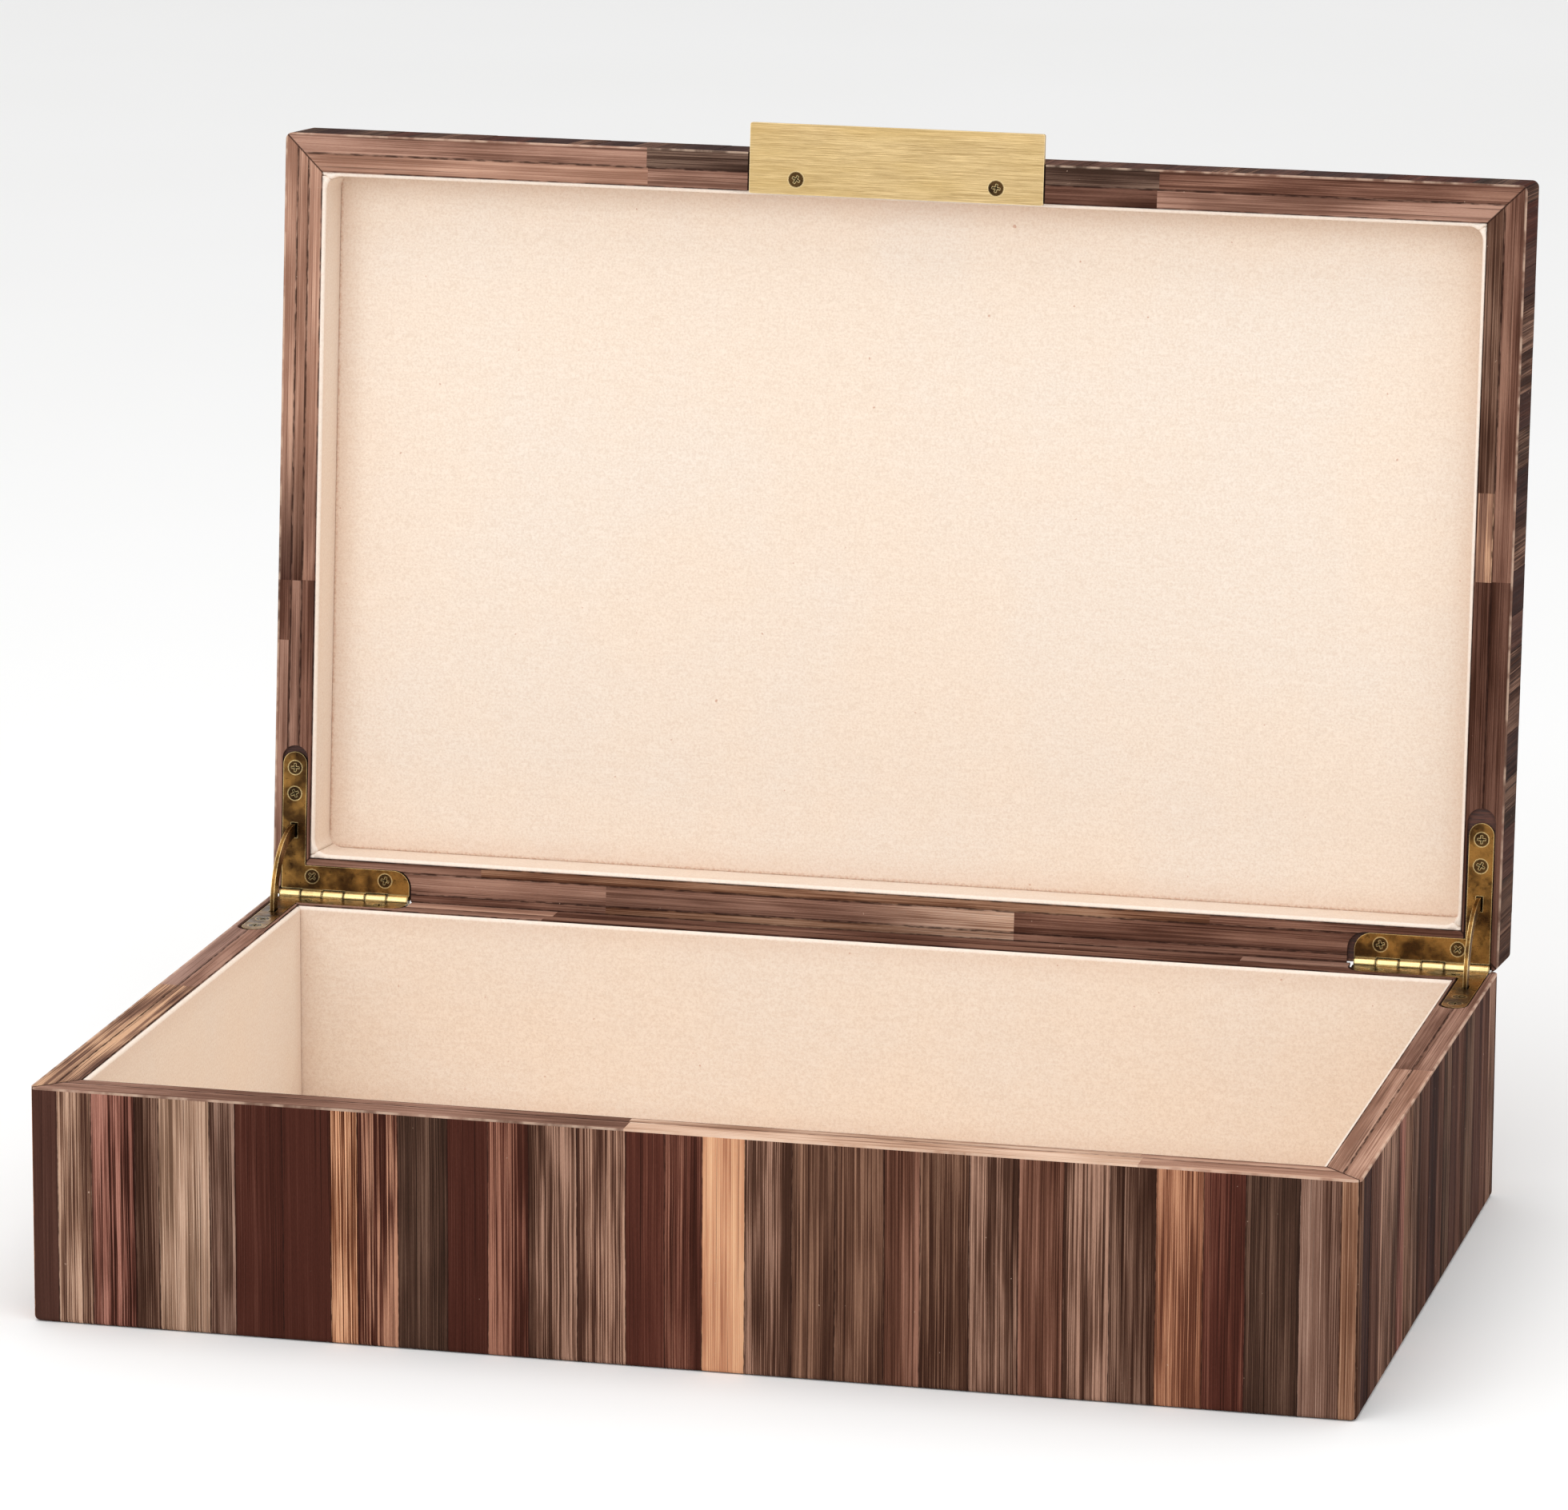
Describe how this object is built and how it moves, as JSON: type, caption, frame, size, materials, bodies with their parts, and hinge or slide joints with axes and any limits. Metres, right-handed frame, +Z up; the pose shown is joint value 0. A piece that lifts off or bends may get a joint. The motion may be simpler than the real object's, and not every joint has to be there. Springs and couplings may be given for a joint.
{
  "type": "lidded keepsake box",
  "caption": "Low rectangular hinged box veneered in dyed straw strips, suede lined, with a brass lift tab, shown with its lid open.",
  "frame": {"origin": "centre of the underside of the base", "axes": "+X to the right along the length, +Y towards the hinges, +Z up"},
  "size_m": [0.356, 0.2602, 0.2911],
  "materials": {
    "dyed_straw": "satin lacquer over dyed straw strips",
    "rim_straw": "satin lacquer over dyed straw",
    "dark_board": "stained fibreboard",
    "suede_lining": "fine suede nap",
    "underside_felt": "pressed felt",
    "antique_brass": "antique patina, rubbed edges",
    "screw_brass": "darkened brass",
    "brushed_brass": "brushed along its length"
  },
  "bodies": {
    "base": {"base_back_lining": "suede_lining", "base_back_marquetry": "dyed_straw", "base_back_rim_inlay": "rim_straw", "base_back_wall": "dark_board", "base_bottom_board": "dark_board", "base_felt": "underside_felt", "base_floor_lining": "suede_lining", "base_front_lining": "suede_lining", "base_front_marquetry": "dyed_straw", "base_front_rim_inlay": "rim_straw", "base_front_wall": "dark_board", "base_left_lining": "suede_lining", "base_left_marquetry": "dyed_straw", "base_left_rim_inlay": "rim_straw", "base_left_wall": "dark_board", "base_right_lining": "suede_lining", "base_right_marquetry": "dyed_straw", "base_right_rim_inlay": "rim_straw", "base_right_wall": "dark_board", "left_base_leaf": "antique_brass", "left_base_leaf_screws": "screw_brass", "left_hinge_pin": "antique_brass", "right_base_leaf": "antique_brass", "right_base_leaf_screws": "screw_brass", "right_hinge_pin": "antique_brass"},
    "lid": {"left_lid_leaf": "antique_brass", "left_lid_leaf_screws": "screw_brass", "lid_back_lining": "suede_lining", "lid_back_marquetry": "dyed_straw", "lid_back_rim_inlay": "rim_straw", "lid_back_wall": "dark_board", "lid_front_lining": "suede_lining", "lid_front_marquetry": "dyed_straw", "lid_front_rim_inlay": "rim_straw", "lid_front_wall": "dark_board", "lid_left_lining": "suede_lining", "lid_left_marquetry": "dyed_straw", "lid_left_rim_inlay": "rim_straw", "lid_left_wall": "dark_board", "lid_panel_lining": "suede_lining", "lid_right_lining": "suede_lining", "lid_right_marquetry": "dyed_straw", "lid_right_rim_inlay": "rim_straw", "lid_right_wall": "dark_board", "lid_top_board": "dark_board", "lid_top_marquetry": "dyed_straw", "lift_tab": "brushed_brass", "lift_tab_screws": "screw_brass", "right_lid_leaf": "antique_brass", "right_lid_leaf_screws": "screw_brass"},
    "left_stay": {"left_stay": "antique_brass"},
    "right_stay": {"right_stay": "antique_brass"}
  },
  "joints": [
    {"name": "lid_hinge", "type": "hinge", "parent": "base", "child": "lid", "pos_m": [0, 0.10961, 0.06436], "axis": [1, 0, 0], "range_deg": [0, 95]},
    {"name": "left_stay_swing", "type": "hinge", "parent": "base", "child": "left_stay", "pos_m": [-0.172, 0.10961, 0.06436], "axis": [1, 0, 0], "range_deg": [0, 47.5]},
    {"name": "right_stay_swing", "type": "hinge", "parent": "base", "child": "right_stay", "pos_m": [0.172, 0.10961, 0.06436], "axis": [1, 0, 0], "range_deg": [0, 47.5]}
  ],
  "couplings": [
    {"joint": "left_stay_swing", "follows": "lid_hinge", "ratio": 0.5},
    {"joint": "right_stay_swing", "follows": "lid_hinge", "ratio": 0.5}
  ]
}
